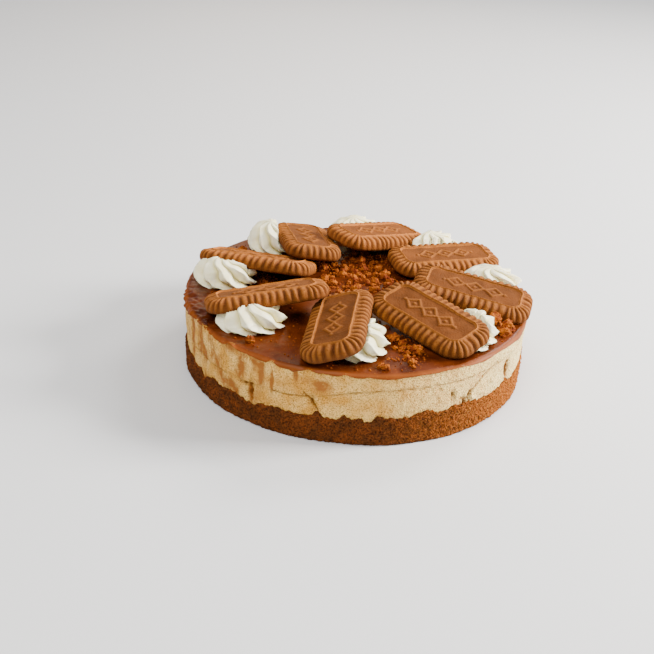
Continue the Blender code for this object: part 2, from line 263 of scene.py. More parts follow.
# Painted shade: darker in the pits, where the bump is lowest.
pit_shade_share = add_node(tree, "ShaderNodeMapRange", {0: pits.outputs[0], 1: 0.53, 2: 0.37, 4: 0.75})
pitted = layered(
    tree, browned, ((painted_light_share, CRUST_PAINTED_LIGHT), (speck_share, CRUST_GOLDEN), (pit_shade_share, CRUST_PIT_SHADE))
)
tree.links.new(pitted.outputs[2], shader.inputs["Base Color"])
shader.inputs["Roughness"].default_value = 0.9
shader.inputs["Specular IOR Level"].default_value = 0.1
rough = add_node(tree, "ShaderNodeBump", {"Strength": 1.0, "Distance": 0.0018, "Height": pits.outputs[0]})
tree.links.new(rough.outputs[0], shader.inputs["Normal"])
finish_piece(crust, pressed_crumb, "crumb_base", "crust")


# The mousse filling. Cream cheese whipped with biscuit spread and set cold in the ring.
# Its side shows fine pores, the seam between two scoops, dents and smears of caramel.
FILLING_TOP = 0.0360
LAYER_OVERLAP = 0.0004
FILLING_SET_IN = 0.0002
FILLING_TUCK = 0.0004
TUCKED_SHARE = 1.0 / 30.0
FILLING_BUMPS = ((0.0004, 0.0160), (0.00025, 0.0020))
STIRRED_SIZE = 0.0050
PORE_SPACING = 0.0016
PORE_DEPTH = 0.00040
SEAM_HEIGHT = 0.0260
SEAM_CLIMB = 0.0041
SEAM_CLIMBS_AT = -95.0
SEAM_CLIMBS_OVER = 0.019
SEAM_WAVER = ((0.0004, 0.0060),)
SEAM_WIDTH = 0.00040
SEAM_DEPTH = 0.0007
SEAM_STEP = 0.0002
# Dents round the side: angle in degrees, height, half width, half height and depth, which is
# below zero for a raised curd
DENTS = (
    (-57.0, 0.0225, 0.0012, 0.0026, 0.0010),
    (-53.0, 0.0185, 0.0022, 0.0022, 0.0008),
    (-50.5, 0.0205, 0.0010, 0.0034, 0.0012),
    (-30.2, 0.0235, 0.0020, 0.0038, 0.0026),
    (-40.0, 0.0215, 0.0040, 0.0022, -0.0006),
    (-44.0, 0.0185, 0.0030, 0.0018, -0.0008),
    (-49.0, 0.0178, 0.0026, 0.0014, -0.0007),
    (-121.8, 0.0176, 0.0012, 0.0050, 0.0016),
    (-124.6, 0.0208, 0.0028, 0.0010, 0.0011),
    (-101.0, 0.0215, 0.0014, 0.0036, 0.0008),
    (-62.0, 0.0275, 0.0010, 0.0008, 0.0004),
    (30.0, 0.0230, 0.0030, 0.0026, 0.0006),
    (96.0, 0.0190, 0.0018, 0.0034, 0.0008),
    (152.0, 0.0250, 0.0028, 0.0018, 0.0005),
)
DENT_DEEPENED = 1.5
DENT_CRUMBLE = 0.0016
DENT_SHADE = 800.0
# Creases: points of angle in degrees and height
CREASES = (
    ((-103.8, 0.0256), (-101.5, 0.0220), (-99.3, 0.0173)),
    ((-52.5, 0.0165), (-49.4, 0.0226), (-44.5, 0.0275), (-38.0, 0.0315)),
    ((60.0, 0.0200), (66.0, 0.0240), (75.0, 0.0265)),
    ((-178.0, 0.0225), (-171.0, 0.0250), (-160.0, 0.0262)),
)
CREASE_WIDTH = 0.0005
CREASE_DEPTH = 0.0010
# Smears of caramel: angle, height, half width, half height, strength
SMEARS = (
    (-98.3, 0.0300, 0.0046, 0.0036, 1.10),
    (-103.0, 0.0326, 0.0026, 0.0018, 0.60),
    (-106.4, 0.0345, 0.0011, 0.0038, 1.60),
    (-125.6, 0.0290, 0.0028, 0.0062, 0.90),
    (-118.0, 0.0300, 0.0018, 0.0068, 1.60),
    (-114.2, 0.0272, 0.0008, 0.0050, 1.60),
    (-132.0, 0.0168, 0.0064, 0.0030, 0.85),
    (-154.0, 0.0240, 0.0020, 0.0110, 1.00),
    (-149.0, 0.0290, 0.0012, 0.0070, 0.80),
    (-145.0, 0.0230, 0.0030, 0.0050, 0.50),
    (-122.0, 0.0165, 0.0012, 0.0044, 0.90),
    (-30.2, 0.0225, 0.0018, 0.0044, 1.40),
    (-47.0, 0.0285, 0.0030, 0.0012, 0.35),
    (164.0, 0.0270, 0.0024, 0.0070, 0.60),
    (118.0, 0.0300, 0.0030, 0.0034, 0.70),
    (50.0, 0.0310, 0.0018, 0.0046, 0.60),
)
SMEAR_DEPTH = 0.0003
# Upright streaks where the ring dragged the caramel down: strength, width, height, and a
# number that sets one kind of streak apart from the other
STREAKS = ((1.4, 0.0060, 0.0110, 4.0), (0.5, 0.0014, 0.0070, 9.0))
STREAK_DEPTH = 0.00025
STREAK_STRENGTH = 1.3
# The glaze's lower edge: waves, bumps, and where the mousse was dragged up over it or it ran
# down, as an angle, a rise and a half width
GLAZE_WAVES = ((0.0004, 3, 1.1), (0.0004, 8, 0.2), (0.0003, 15, 2.6))
GLAZE_EDGE_BUMPS = ((0.0005, 0.0060),)
GLAZE_MARKS = (
    (-163.0, -0.0024, 0.0060), (-145.0, 0.0024, 0.0130), (-130.1, 0.0024, 0.0035), (-118.5, -0.0006, 0.0030),
    (-114.1, 0.0020, 0.0020), (-107.4, -0.0012, 0.0014), (-102.7, 0.0018, 0.0030), (-97.5, 0.0006, 0.0030),
    (-91.4, 0.0018, 0.0024), (-84.7, 0.0006, 0.0020), (-78.2, -0.0011, 0.0050), (-59.0, 0.0026, 0.0150),
    (-38.0, 0.0010, 0.0080), (-23.4, -0.0016, 0.0090), (40.0, 0.0014, 0.0060), (88.0, -0.0014, 0.0050),
    (128.0, 0.0012, 0.0090), (160.0, -0.0012, 0.0040),
)
GLAZE_HIGHEST = 0.0388
SMOOTH_RAGS = 0.0003
SCRAPED_RAGS = 0.0004
RAG_SIZE = 0.0018
MOUSSE_BEIGE = "e7ab4c"
MOUSSE_LIGHT = "ffd278"
# The pale colour is painted light on the right of the mousse.
MOUSSE_PAINTED_LIGHT = "fff0b0"
# Painted shade in the pores.
MOUSSE_PORE_SHADE = "9c601a"
MOUSSE_SMEAR = "a8682c"
MOUSSE_SHADE = "744214"
MOUSSE_SPECK = "6e5a3c"


def scraped(angle):
    """1 where the ring dragged the mousse in upright streaks, at the left, and less behind."""
    return min(1.0, near_angle(angle, -138.0, 0.036) + 0.8 * near_angle(angle, 120.0, 0.040))


def glaze_edge(angle):
    """Height of the glaze's uneven lower edge at the side."""
    spot = side_spot(angle, 0.0)
    rags = (SMOOTH_RAGS + SCRAPED_RAGS * scraped(angle)) * noise.noise(spot / RAG_SIZE)
    edge = FILLING_TOP + wave(angle, GLAZE_WAVES) + edge_marks(angle, GLAZE_MARKS)
    edge += bumps(spot, GLAZE_EDGE_BUMPS) + rags
    return min(edge, GLAZE_HIGHEST)


def mark(angle, height, degrees, middle, half_width, half_height):
    """1 at the middle of a mark on the side, fading to 0 round it."""
    across = along_side(angle, degrees) / half_width
    if abs(across) > 3.0:
        return 0.0
    upward = (height - middle) / half_height
    return math.exp(-across * across - upward * upward)


def crease(angle, height, points, width):
    """1 on the line through the points, fading to 0 within a few widths of it."""
    best = 1.0
    for (degrees_a, height_a), (degrees_b, height_b) in zip(points, points[1:]):
        a = Vector((along_side(angle, degrees_a), height - height_a))
        b = Vector((along_side(angle, degrees_b), height - height_b))
        if min(abs(a.x), abs(b.x)) > 0.02:
            continue
        run = a - b
        part = min(1.0, max(0.0, a.dot(run) / run.length_squared))
        best = min(best, (a - part * run).length)
    return math.exp(-((best / width) ** 2))


def seam_height(angle):
    """The level line between the two scoops of mousse, which climbs from left to right."""
    return SEAM_HEIGHT + SEAM_CLIMB * math.tanh(along_side(angle, SEAM_CLIMBS_AT) / SEAM_CLIMBS_OVER)


def keep_values(piece, name, values):
    """Keeps a number for each vertex, which the material reads by this name."""
    piece.data.attributes.new(name, "FLOAT", "POINT").data.foreach_set("value", values)


filling_rows = round((FILLING_TOP - CRUST_TOP) / FINE_STEP)
filling = add_layer("mousse_filling", CRUST_TOP, FILLING_TOP, around, filling_rows)
smears = []
shadows = []
for vertex in filling.data.vertices:
    x, y, z = vertex.co
    smear = 0.0
    shadow = 0.0
    if math.hypot(x, y) > CAKE_RADIUS - 0.5 * RIM_WIDTH:
        angle = math.atan2(y, x)
        bottom = crust_edge(angle) - LAYER_OVERLAP
        share = (z - CRUST_TOP) / (FILLING_TOP - CRUST_TOP)
        height = bottom + share * (glaze_edge(angle) + LAYER_OVERLAP - bottom)
        spot = side_spot(angle, height)
        stirred = noise.noise(spot / STIRRED_SIZE)
        smear = sum(s * mark(angle, height, a, h, w, t) for a, h, w, t, s in SMEARS)
        streak = sum(
            strength * noise.noise(Vector((CAKE_RADIUS * angle / wide, height / high, apart)))
            for strength, wide, high, apart in STREAKS
        )
        streaked = max(0.0, streak + 0.15) * scraped(angle)
        smear = min(1.0, smear * (1.0 + 0.5 * stirred) + STREAK_STRENGTH * streaked)
        seam_at = (height - seam_height(angle) - bumps(spot, SEAM_WAVER)) / SEAM_WIDTH
        seam = math.exp(-seam_at * seam_at) * max(0.1, 0.6 + stirred)
        creased_in = sum(crease(angle, height, points, CREASE_WIDTH) for points in CREASES)
        dented = sum(d * mark(angle, height, a, h, w, t) for a, h, w, t, d in DENTS)
        dented *= max(0.0, 0.9 + 1.3 * noise.noise(spot / DENT_CRUMBLE))
        shadow = min(1.0, 1.1 * seam + creased_in + DENT_SHADE * dented)
        pores = max(0.0, 0.55 - noise.voronoi(spot / PORE_SPACING)[0][0])
        relief = bumps(spot, FILLING_BUMPS) + SEAM_STEP * math.tanh(seam_at)
        relief -= PORE_DEPTH * pores + SEAM_DEPTH * seam + CREASE_DEPTH * creased_in
        relief -= DENT_DEEPENED * dented + SMEAR_DEPTH * smear
        relief -= STREAK_DEPTH * scraped(angle) * streak
        tuck = FILLING_TUCK * max(0.0, 1.0 - share / TUCKED_SHARE)
        reach = side_radius(angle) - FILLING_SET_IN + relief - tuck
        vertex.co = (reach * math.cos(angle), reach * math.sin(angle), height)
    smears.append(smear)
    shadows.append(shadow)
keep_values(filling, "smear", smears)
keep_values(filling, "shadow", shadows)

# Set mousse: a soft dull solid full of tiny bubbles, pale beige, a little see-through. Painted light makes
# it paler towards the right, and painted shade darkens its pores.
set_mousse, tree, shader, place = new_finish("set_mousse")
clouds = add_node(tree, "ShaderNodeTexNoise", {"Vector": place, "Scale": 1.0 / 0.0090, "Detail": 6.0})
cloud_share = add_node(tree, "ShaderNodeMapRange", {0: clouds.outputs[0], 1: 0.38, 2: 0.60})
beige = add_node(
    tree, "ShaderNodeMix", {0: cloud_share.outputs[0], 6: linear(MOUSSE_BEIGE), 7: linear(MOUSSE_LIGHT)},
    data_type="RGBA",
)
across = add_node(tree, "ShaderNodeSeparateXYZ", {0: place})
# Painted light: paler towards the right, where the light falls strongest.
painted_light_share = add_node(tree, "ShaderNodeMapRange", {0: across.outputs[0], 1: 0.01, 2: 0.085, 4: 0.75})
bubbles = add_node(tree, "ShaderNodeTexNoise", {"Vector": place, "Scale": 1.0 / 0.0006, "Detail": 3.0})
# Painted shade: darker in the pores, where the bump is lowest.
pore_shade_share = add_node(tree, "ShaderNodeMapRange", {0: bubbles.outputs[0], 1: 0.54, 2: 0.36, 4: 0.8})
smear_kept = add_node(tree, "ShaderNodeAttribute", attribute_name="smear")
streaks = add_node(tree, "ShaderNodeTexNoise", {"Vector": place, "Scale": 1.0 / 0.0022, "Detail": 4.0})
streak_share = add_node(
    tree, "ShaderNodeMath", {0: smear_kept.outputs["Fac"], 1: streaks.outputs[0]},
    operation="MULTIPLY",
)
smear_share = add_node(tree, "ShaderNodeMapRange", {0: streak_share.outputs[0], 1: 0.04, 2: 0.42})
shadow_kept = add_node(tree, "ShaderNodeAttribute", attribute_name="shadow")
shadow_share = add_node(
    tree, "ShaderNodeMath", {0: shadow_kept.outputs["Fac"], 1: 0.85}, operation="MULTIPLY"
)
specks = add_node(tree, "ShaderNodeTexVoronoi", {"Vector": place, "Scale": 1.0 / 0.0046})
speck_share = add_node(
    tree, "ShaderNodeMapRange", {0: specks.outputs["Distance"], 1: 0.10, 2: 0.05, 4: 0.8}
)
specked = layered(tree, beige, (
    (painted_light_share, MOUSSE_PAINTED_LIGHT),
    (pore_shade_share, MOUSSE_PORE_SHADE),
    (smear_share, MOUSSE_SMEAR),
    (shadow_share, MOUSSE_SHADE),
    (speck_share, MOUSSE_SPECK),
))
tree.links.new(specked.outputs[2], shader.inputs["Base Color"])
shader.inputs["Roughness"].default_value = 0.62
shader.inputs["Specular IOR Level"].default_value = 0.08
shader.inputs["Subsurface Weight"].default_value = 0.2
shader.inputs["Subsurface Radius"].default_value = (0.0030, 0.0020, 0.0012)
porous = add_node(
    tree, "ShaderNodeBump", {"Strength": 1.0, "Distance": 0.0010, "Height": bubbles.outputs[0]}
)
tree.links.new(porous.outputs[0], shader.inputs["Normal"])
finish_piece(filling, set_mousse, "mousse", "filling")


# The glaze. Melted caramel-coloured biscuit spread poured over the mousse and set cold:
# smooth and glossy, with a thick rounded lip at the rim that is torn where the ring came off.
GLAZE_TOP = 0.0385
LIP_WIDTH = 0.0016
LIP_DROP = 0.0006
LIP_BULGE = 0.0007
LIP_UNDERCUT = 0.0004
LIP_RAGS = 0.0020
LIP_RAG_SIZE = 0.0026
TOP_BUMPS = ((0.00030, 0.0140), (0.00018, 0.0050))
RUFFLES = ((0.0014, 0.0026), (0.0012, 0.0060))
TORN_WIDTH = 0.0120
GLAZE_STEP = 0.0009
GLAZE_RIM_ROWS = 7
INSET_STEP = 0.0018
INNERMOST = 0.006
HAIR = 0.0001
GLAZE_DARK = "3c1402"
GLAZE_BROWN = "622a09"
GLAZE_LIP = "ae5a10"
GLAZE_DUST = "a85c18"


def torn(angle):
    """1 where the lip is torn and rough, at the left, less behind, and 0 where it is smooth."""
    return near_angle(angle, -156.0, 0.034) + 0.6 * near_angle(angle, 100.0, 0.030)


def rim_height(angle):
    """Height of the glaze where its rounded lip turns down: lower than the top, above its edge."""
    return max(GLAZE_TOP - LIP_DROP, glaze_edge(angle) + 0.0004)


glaze_around = round(2.0 * math.pi * CAKE_RADIUS / GLAZE_STEP)
glaze = add_layer("caramel_glaze", FILLING_TOP, GLAZE_TOP, glaze_around, GLAZE_RIM_ROWS)
bpy.ops.object.mode_set(mode="EDIT")
pick(
    glaze,
    "edges",
    lambda edge: min(v.co.z for v in edge.verts) > GLAZE_TOP - HAIR
    and abs(edge.verts[0].co.xy.length - edge.verts[1].co.xy.length) > 0.5 * RIM_WIDTH,
)
bpy.ops.mesh.subdivide(number_cuts=round(RIM_WIDTH / GLAZE_STEP) - 1)
pick(glaze, "faces", lambda face: face.normal.z > 0.9 and len(face.verts) > 8)
while min(v.co.xy.length for v in bmesh.from_edit_mesh(glaze.data).verts if v.select) > INNERMOST:
    bpy.ops.mesh.inset(thickness=INSET_STEP)
bpy.ops.object.mode_set(mode="OBJECT")
lips = []
for vertex in glaze.data.vertices:
    lip = 0.0
    x, y, z = vertex.co
    radius = math.hypot(x, y)
    angle = math.atan2(y, x)
    if radius > CAKE_RADIUS - 0.1 * HAIR:
        share = (z - FILLING_TOP) / (GLAZE_TOP - FILLING_TOP)
        bottom = glaze_edge(angle)
        height = bottom + share * (rim_height(angle) - bottom)
        bulge = LIP_BULGE * math.sin(math.pi * min(1.0, 0.15 + 0.85 * share))
        bulge -= LIP_UNDERCUT * (1.0 - share) ** 4
        rough_lip = torn(angle) * LIP_RAGS * noise.noise(side_spot(angle, height) / LIP_RAG_SIZE)
        reach = side_radius(angle) + bulge + rough_lip - HAIR
        vertex.co = (reach * math.cos(angle), reach * math.sin(angle), height)
        lip = 1.0
    elif z > GLAZE_TOP - HAIR:
        near_rim = max(0.0, (radius - (CAKE_RADIUS - LIP_WIDTH)) / LIP_WIDTH)
        lip = near_rim
        spot = Vector((x, y, 0.0))
        rough = max(0.0, (radius - (CAKE_RADIUS - TORN_WIDTH)) / TORN_WIDTH)
        ruffled = torn(angle) * rough * bumps(spot, RUFFLES)
        height = GLAZE_TOP + HAIR + bumps(spot, TOP_BUMPS) + ruffled
        height -= (GLAZE_TOP - rim_height(angle)) * near_rim**2.4
        reach = side_radius(angle) / CAKE_RADIUS
        vertex.co = (x * reach, y * reach, height)
    lips.append(lip)
keep_values(glaze, "lip", lips)

# Set biscuit-spread caramel: warm brown, oily and glossy, more golden where its lip is thin.
set_caramel, tree, shader, place = new_finish("set_caramel_spread")
swirls = add_node(
    tree, "ShaderNodeTexNoise", {"Vector": place, "Scale": 1.0 / 0.0150, "Detail": 4.0, "Distortion": 0.6}
)
swirl_share = add_node(tree, "ShaderNodeMapRange", {0: swirls.outputs[0], 1: 0.35, 2: 0.65})
brown = add_node(
    tree, "ShaderNodeMix", {0: swirl_share.outputs[0], 6: linear(GLAZE_DARK), 7: linear(GLAZE_BROWN)},
    data_type="RGBA",
)
lip_kept = add_node(tree, "ShaderNodeAttribute", attribute_name="lip")
lip_share = add_node(tree, "ShaderNodeMath", {0: lip_kept.outputs["Fac"], 1: 0.38}, operation="MULTIPLY")
dust = add_node(tree, "ShaderNodeTexVoronoi", {"Vector": place, "Scale": 1.0 / 0.0016})
dust_share = add_node(tree, "ShaderNodeMapRange", {0: dust.outputs["Distance"], 1: 0.16, 2: 0.08, 4: 0.6})
dusted = layered(tree, brown, ((lip_share, GLAZE_LIP), (dust_share, GLAZE_DUST)))
tree.links.new(dusted.outputs[2], shader.inputs["Base Color"])
gloss = add_node(tree, "ShaderNodeMapRange", {0: swirls.outputs[0], 1: 0.3, 2: 0.7, 3: 0.26, 4: 0.40})
duller = add_node(
    tree, "ShaderNodeMath", {0: lip_kept.outputs["Fac"], 1: 0.20, 2: gloss.outputs[0]},
    operation="MULTIPLY_ADD",
)
tree.links.new(duller.outputs[0], shader.inputs["Roughness"])
shader.inputs["IOR"].default_value = 1.47
shader.inputs["Specular IOR Level"].default_value = 0.16
smooth_waves = add_node(tree, "ShaderNodeTexNoise", {"Vector": place, "Scale": 1.0 / 0.0035, "Detail": 3.0})
rippled = add_node(
    tree, "ShaderNodeBump", {"Strength": 0.35, "Distance": 0.0004, "Height": smooth_waves.outputs[0]}
)
tree.links.new(rippled.outputs[0], shader.inputs["Normal"])
finish_piece(glaze, set_caramel, "caramel_glaze", "glaze")


# The biscuits. Thin spiced caramelised biscuits, stamped from dough: an oblong with round
# ribs down its edge, a raised border, and a panel with a raised row of lozenges and beads.
BISCUIT_LENGTH = 0.0620
BISCUIT_WIDTH = 0.0315
BISCUIT_THICKNESS = 0.0070
BISCUIT_CORNER = 0.0110
BISCUIT_WARP = 0.00030
WARP_SIZE = 0.0050
WARP_SEED = 8
RIBS = 46
RIB_DEPTH = 0.0014
RIB_REACH = 0.0045
STEPS_PER_RIB = 8
PANEL_INSET = 0.0073
PANEL_DEPTH = 0.0006
PANEL_ROWS = 24
BORDER_INSET = 0.0060
# The edge from the foot up to the panel: how far in, how high, and how deep the ribs are
EDGE_LEVELS = (
    (0.0018, 0.0000, 0.00), (0.0010, 0.0001, 0.10), (0.0005, 0.0006, 0.20), (0.0001, 0.0014, 0.35),
    (0.0000, 0.0022, 0.55), (0.0001, 0.0031, 0.75), (0.0003, 0.0041, 0.90), (0.0007, 0.0049, 1.00),
    (0.0013, 0.0055, 1.00), (0.0020, 0.0060, 1.00), (0.0029, 0.0063, 0.95), (0.0038, 0.0065, 0.90),
    (0.0046, 0.0066, 0.80), (0.0053, 0.0067, 0.60), (0.0059, 0.0067, 0.30), (0.0063, 0.0069, 0.05),
    (0.0064, 0.0071, 0.00), (0.0065, 0.0072, 0.00), (0.0066, 0.0071, 0.00), (0.0067, 0.0068, 0.00),
    (0.0069, 0.0064, 0.00), (0.0073, 0.0063, 0.00),
)
# Heading of each biscuit, how far its left side leans up on the cream, its outer end's dip, and how much
# painted light brightens the whole biscuit, for the stronger light and sheen that some get: 1 is the darkest
BISCUITS = {
    "biscuit_1": (-94.4, 19.0, 2.4, 1.05),
    "biscuit_2": (-41.9, 10.5, 6.2, 1.00),
    "biscuit_3": (-12.5, 6.5, 7.5, 1.00),
    "biscuit_4": (21.0, 3.7, 1.5, 1.25),
    "biscuit_5": (42.5, 2.0, 10.5, 1.35),
    "biscuit_6": (103.5, 7.5, 8.0, 1.10),
    "biscuit_7": (168.0, 18.0, 0.0, 1.35),
    "biscuit_8": (194.5, 15.0, 7.0, 1.20),
}
LOZENGES = (-0.0100, 0.0, 0.0100)
LOZENGE_HALF = Vector((0.0045, 0.0040))
BEADS = (-0.0160, -0.0050, 0.0050, 0.0160)
BEAD_RADIUS = 0.0011
STROKE = 0.0008
STROKE_HEIGHT = 0.0006
# Painted shading that the material reads: 0 in a groove, darkened as painted shade, 0.5 plain, and up to 1
# on the border, the crests and the strokes, lightened as painted highlight
BORDER_HIGHLIGHT = 0.90
PLAIN_TONE = 0.50
CREST_HIGHLIGHT = 0.80
STROKE_HIGHLIGHT = 0.70
CRESTS_FULLY_HIGHLIT_AT = 0.0052
BISCUIT_DARK = "532a0f"
BISCUIT_BROWN = "673515"
# Colours for the painted shade in the grooves and the painted highlight on the crests, border and strokes.
BISCUIT_GROOVE_SHADE = "48200a"
BISCUIT_CREST_HIGHLIGHT = "a8622c"
BISCUIT_SPICE = "6a3310"
BISCUIT_SHEEN = "ffd6a8"


def outline_point(share, inset):
    """A point on the biscuit's outline, drawn in by inset. share runs from 0 to 1 round it,
    from the middle of its outer end."""
    straight_x = 0.5 * BISCUIT_LENGTH - BISCUIT_CORNER
    straight_y = 0.5 * BISCUIT_WIDTH - BISCUIT_CORNER
    bend = 0.5 * math.pi * BISCUIT_CORNER
    lengths = (2 * straight_y, bend, 2 * straight_x, bend) * 2
    corners = ((1, -1), (1, 1), (1, 1), (-1, 1), (-1, 1), (-1, -1), (-1, -1), (1, -1))
    run = (share * sum(lengths) + straight_y) % sum(lengths)
    side = 0
    while run > lengths[side]:
        run -= lengths[side]
        side += 1
    x, y = corners[side][0] * straight_x, corners[side][1] * straight_y
    heading = 0.5 * math.pi * (side // 2)
    if side % 2:
        heading += run / BISCUIT_CORNER
    else:
        x -= run * math.sin(heading)
        y += run * math.cos(heading)
    reach = BISCUIT_CORNER - inset
    return x + reach * math.cos(heading), y + reach * math.sin(heading)


def groove(share):
    """0 on the crest of a rib and up to 1 in the groove beside it. The ribs are uneven."""
    turn = 2.0 * math.pi * share
    round_spot = Vector((math.cos(turn), math.sin(turn), 0.0))
    shifted = RIBS * share + 0.35 * noise.noise(4.0 * round_spot)
    return (1.0 - abs(math.cos(math.pi * shifted))) * (0.85 + 0.6 * noise.noise(7.0 * round_spot))


def raised(distance, reach):
    """The round section of a raised stroke or bead, by distance from its middle."""
    return math.sqrt(max(0.0, 1.0 - (distance / reach) ** 2))


def stamped(x, y):
    """How far the stamped ornament stands up here, 0 to 1: a row of lozenges with beads."""
    height = 0.0
    for middle in LOZENGES:
        from_middle = abs(x - middle) / LOZENGE_HALF.x + abs(y) / LOZENGE_HALF.y - 1.0
        from_line = from_middle * LOZENGE_HALF.x * LOZENGE_HALF.y / LOZENGE_HALF.length
        height = max(height, raised(from_line, STROKE))
    for middle in LOZENGES + BEADS:
        height = max(height, raised(math.hypot(x - middle, y), BEAD_RADIUS))
    return height


def wrapped(name, around, rows, place_point):
    """A grid primitive wrapped round into a closed form: place_point gives the point of each step round and
    row up, and its painted shading, from 0 in a groove, which takes painted shade, to 1 on a crest, which
    can take painted highlight, which the material reads. The seam is merged, and an open end is filled."""
    bpy.ops.object.select_all(action="DESELECT")
    bpy.ops.mesh.primitive_grid_add(x_subdivisions=around, y_subdivisions=rows, size=2.0)
    form = bpy.context.object
    form.name = name
    painted_shadings = []
    for vertex in form.data.vertices:
        step = round((vertex.co.x + 1.0) * 0.5 * around) % around
        row = round((vertex.co.y + 1.0) * 0.5 * rows)
        *vertex.co, painted_shading = place_point(step, row)
        painted_shadings.append(painted_shading)
    keep_values(form, "painted_shading", painted_shadings)
    bpy.ops.object.mode_set(mode="EDIT")
    bpy.ops.mesh.select_all(action="SELECT")
    bpy.ops.mesh.remove_doubles(threshold=0.00001)
    pick(form, "edges", lambda edge: edge.is_boundary)
    bpy.ops.mesh.edge_face_add()
    bpy.ops.mesh.select_all(action="SELECT")
    bpy.ops.mesh.normals_make_consistent(inside=False)
    bpy.ops.object.mode_set(mode="OBJECT")
    return form


def biscuit_point(step, row):
    """A point of the biscuit lying flat: its ribbed edge row by row, then its panel, whose
    rows close on the line along its middle."""
    share = step / (RIBS * STEPS_PER_RIB)
    if row < len(EDGE_LEVELS):
        inset, height, ribbed = EDGE_LEVELS[row]
        sunk = ribbed * groove(share)
        outward = min(1.0, max(0.0, 1.0 - inset / RIB_REACH))
        x, y = outline_point(share, inset + RIB_DEPTH * sunk * outward)
        # Painted shading: higher parts of the edge are lighter as painted highlight, grooves darker as
        # painted shade, and the border lightest.
        highlit = min(1.0, height / CRESTS_FULLY_HIGHLIT_AT)
        painted_shading = (PLAIN_TONE + (CREST_HIGHLIGHT - PLAIN_TONE) * highlit) * (1.0 - sunk)
        if inset > BORDER_INSET and height > BISCUIT_THICKNESS:
            painted_shading = BORDER_HIGHLIGHT
        return x, y, height - RIB_DEPTH * sunk * (0.9 - 0.6 * outward), painted_shading
    shrink = (row - len(EDGE_LEVELS) + 1) / PANEL_ROWS
    x, y = outline_point(share, PANEL_INSET)
    spine = 0.5 * (BISCUIT_LENGTH - BISCUIT_WIDTH)
    x += shrink * (min(spine, max(-spine, x)) - x)
    y -= shrink * y
    stroke = stamped(x, y)
    # Painted highlight on the raised strokes.
    painted_shading = PLAIN_TONE + (STROKE_HIGHLIGHT - PLAIN_TONE) * stroke
    return x, y, BISCUIT_THICKNESS - PANEL_DEPTH + STROKE_HEIGHT * stroke, painted_shading


biscuit_rows = len(EDGE_LEVELS) - 1 + PANEL_ROWS
moulded = wrapped("moulded_biscuit", RIBS * STEPS_PER_RIB, biscuit_rows, biscuit_point)

# Caramelised spiced biscuit: baked dry and dull, milk-chocolate brown, with a fine open grain, painted
# highlight on its border, crests and strokes, painted shade in its grooves, and each biscuit brightened by
# painted light as a lighter or darker copy.
baked_biscuit, tree, shader, place = new_finish("caramelised_spiced_biscuit")
bake = add_node(tree, "ShaderNodeTexNoise", {"Vector": place, "Scale": 1.0 / 0.0100, "Detail": 3.0})
bake_share = add_node(tree, "ShaderNodeMapRange", {0: bake.outputs[0], 1: 0.35, 2: 0.65})
baked = add_node(
    tree, "ShaderNodeMix", {0: bake_share.outputs[0], 6: linear(BISCUIT_DARK), 7: linear(BISCUIT_BROWN)},
    data_type="RGBA",
)
painted_shading_kept = add_node(tree, "ShaderNodeAttribute", attribute_name="painted_shading")
# Painted shade in the grooves, and painted highlight on the border, crests and strokes.
groove_shade_share = add_node(tree, "ShaderNodeMapRange", {0: painted_shading_kept.outputs["Fac"], 1: 0.45, 2: 0.0})
crest_highlight_share = add_node(tree, "ShaderNodeMapRange", {0: painted_shading_kept.outputs["Fac"], 1: 0.50, 2: 1.0, 4: 0.9})
spice = add_node(tree, "ShaderNodeTexNoise", {"Vector": place, "Scale": 1.0 / 0.0009, "Detail": 3.0})
spice_share = add_node(tree, "ShaderNodeMapRange", {0: spice.outputs[0], 1: 0.46, 2: 0.34, 4: 0.7})
spiced = layered(tree, baked, (
    (groove_shade_share, BISCUIT_GROOVE_SHADE),
    (crest_highlight_share, BISCUIT_CREST_HIGHLIGHT),
    (spice_share, BISCUIT_SPICE),
))
# Painted light: each biscuit brightened by its own amount, as a lighter or darker copy of the same material.
painted_light_kept = add_node(tree, "ShaderNodeAttribute", attribute_name="painted_light_level")
painted_lit_colour = add_node(
    tree, "ShaderNodeHueSaturation",
    {"Color": spiced.outputs[2], "Hue": 0.506, "Value": painted_light_kept.outputs["Fac"]},
)
tree.links.new(painted_lit_colour.outputs[0], shader.inputs["Base Color"])
shader.inputs["Roughness"].default_value = 0.7
shader.inputs["Specular IOR Level"].default_value = 0.06
shader.inputs["Sheen Weight"].default_value = 0.03
shader.inputs["Sheen Roughness"].default_value = 0.5
shader.inputs["Sheen Tint"].default_value = linear(BISCUIT_SHEEN)
grain = add_node(tree, "ShaderNodeBump", {"Strength": 0.8, "Distance": 0.0004, "Height": spice.outputs[0]})
tree.links.new(grain.outputs[0], shader.inputs["Normal"])

